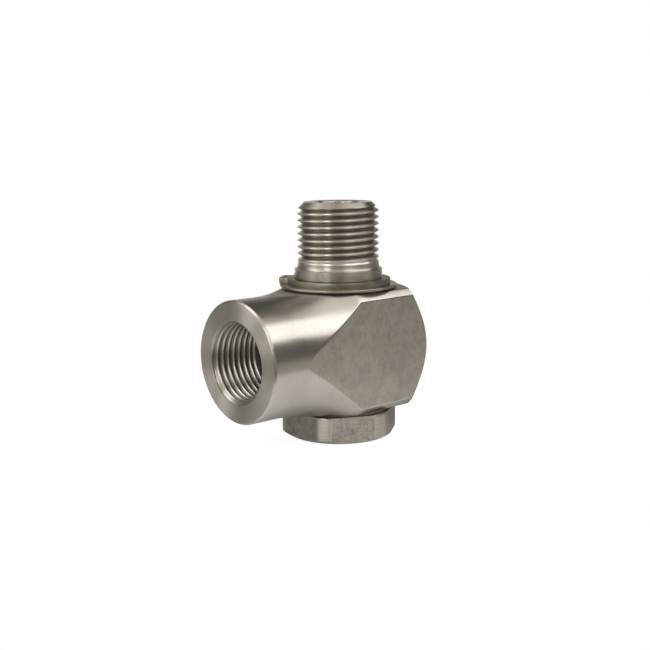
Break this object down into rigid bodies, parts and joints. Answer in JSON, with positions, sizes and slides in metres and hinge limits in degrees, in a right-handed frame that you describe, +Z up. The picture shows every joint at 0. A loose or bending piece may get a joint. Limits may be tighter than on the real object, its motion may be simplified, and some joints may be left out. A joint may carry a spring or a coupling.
{
  "type": "hydraulic rotary union",
  "caption": "Right-angle hydraulic rotary union: a square-cut body with a female threaded side port swivels on a hexagon-headed spindle with a male threaded end, held by a retaining ring.",
  "frame": {"origin": "centre of the hexagon head's bottom face, on the spindle's axis", "axes": "+Z up the spindle towards its threaded end, -X out of the body's threaded port"},
  "size_m": [0.0417, 0.0243, 0.048],
  "materials": {
    "body_steel": "turned and milled stainless steel, satin",
    "spindle_steel": "turned stainless steel, satin",
    "ring_steel": "spring stainless steel, stamped, dull",
    "washer_steel": "stamped stainless steel, satin",
    "thrust_polymer": "carbon-filled acetal, matt",
    "bush_bronze": "sintered bronze lined with filled low-friction polymer",
    "slide_ring_polymer": "bronze-filled low-friction polymer, smooth",
    "seal_rubber": "nitrile rubber, smooth"
  },
  "bodies": {
    "spindle_unit": {"spindle": "spindle_steel", "retaining_ring": "ring_steel", "support_washer": "washer_steel", "upper_slide_ring": "slide_ring_polymer", "lower_slide_ring": "slide_ring_polymer", "upper_seal_energizer": "seal_rubber", "lower_seal_energizer": "seal_rubber"},
    "body_unit": {"housing": "body_steel", "upper_bearing_bush": "bush_bronze", "lower_bearing_bush": "bush_bronze", "upper_thrust_washer": "thrust_polymer", "lower_thrust_washer": "thrust_polymer", "upper_dust_ring": "seal_rubber", "lower_dust_ring": "seal_rubber"}
  },
  "joints": [
    {"name": "swivel", "type": "hinge", "parent": "spindle_unit", "child": "body_unit", "pos_m": [0, 0, 0.0183], "axis": [0, 0, 1], "continuous": true}
  ]
}
